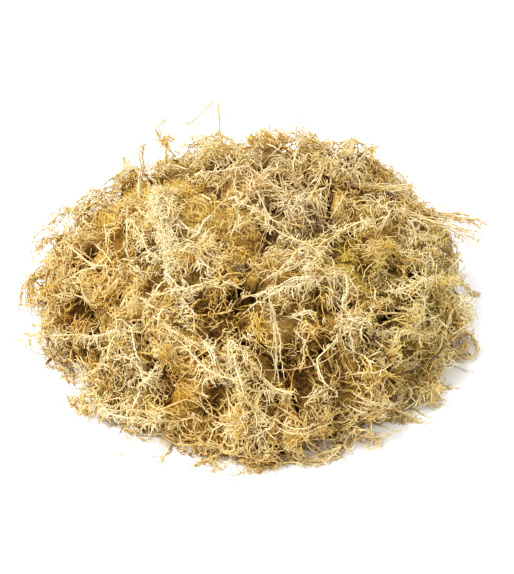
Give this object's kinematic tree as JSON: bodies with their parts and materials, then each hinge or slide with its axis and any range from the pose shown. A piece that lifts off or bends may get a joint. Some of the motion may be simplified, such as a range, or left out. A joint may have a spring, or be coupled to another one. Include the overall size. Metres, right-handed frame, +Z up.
{
  "type": "sphagnum moss clump",
  "caption": "Loose heap of dried long-fibred sphagnum moss with a matted heart, tangled wads, leafy stems, star-shaped heads and bits of twig, lying on a table.",
  "frame": {"origin": "middle of the footprint, on the surface that the heap lies on", "axes": "+Z up from the table, -Y towards the side that is seen from the front, +X to its right"},
  "size_m": [0.2552, 0.2536, 0.0925],
  "materials": {
    "moss_heart": "matt, dense brown felt of broken moss",
    "moss_pale": "matt, bleached cream-yellow moss",
    "moss_straw": "matt, straw-coloured moss",
    "moss_amber": "matt, golden-brown moss",
    "moss_tan": "matt, pinkish-tan moss",
    "moss_olive": "matt, faded olive moss",
    "moss_bark": "matt, dark brown twig",
    "moss_stalk": "matt, reddish-brown dry stalk"
  },
  "bodies": {
    "root": {"matted_heart": "moss_heart", "rim_wad_01": "moss_olive", "rim_wad_02": "moss_tan", "rim_wad_03": "moss_straw", "rim_wad_04": "moss_tan", "rim_wad_05": "moss_tan", "rim_wad_06": "moss_amber", "rim_wad_07": "moss_straw", "rim_wad_08": "moss_amber", "rim_wad_09": "moss_straw", "rim_wad_10": "moss_olive", "shoulder_wad_01": "moss_straw", "shoulder_wad_02": "moss_amber", "shoulder_wad_03": "moss_straw", "shoulder_wad_04": "moss_amber", "shoulder_wad_05": "moss_straw", "shoulder_wad_06": "moss_straw", "shoulder_wad_07": "moss_olive", "crown_wad_01": "moss_tan", "crown_wad_02": "moss_straw", "pale_sheaf": "moss_pale", "tan_sheaf": "moss_tan", "wing_sheaf": "moss_tan", "leafy_stem_01": "moss_pale", "leafy_stem_02": "moss_pale", "leafy_stem_03": "moss_pale", "leafy_stem_04": "moss_straw", "leafy_stem_05": "moss_straw", "leafy_stem_06": "moss_straw", "leafy_stem_07": "moss_pale", "leafy_stem_08": "moss_pale", "leafy_stem_09": "moss_straw", "leafy_stem_10": "moss_olive", "leafy_stem_11": "moss_pale", "leafy_stem_12": "moss_pale", "leafy_stem_13": "moss_pale", "leafy_stem_14": "moss_tan", "arched_stem": "moss_straw", "leafy_stem_15": "moss_tan", "leafy_stem_16": "moss_olive", "leafy_stem_17": "moss_straw", "leafy_stem_18": "moss_straw", "leafy_stem_19": "moss_olive", "loose_sprig_01": "moss_amber", "loose_sprig_02": "moss_straw", "loose_sprig_03": "moss_straw", "loose_sprig_04": "moss_straw", "loose_sprig_05": "moss_amber", "loose_sprig_06": "moss_straw", "loose_sprig_07": "moss_tan", "head_01": "moss_amber", "head_02": "moss_amber", "head_03": "moss_olive", "head_04": "moss_pale", "head_05": "moss_amber", "head_06": "moss_amber", "dark_twig": "moss_bark", "rush_stalk": "moss_stalk", "broken_stalk": "moss_bark"}
  },
  "joints": []
}
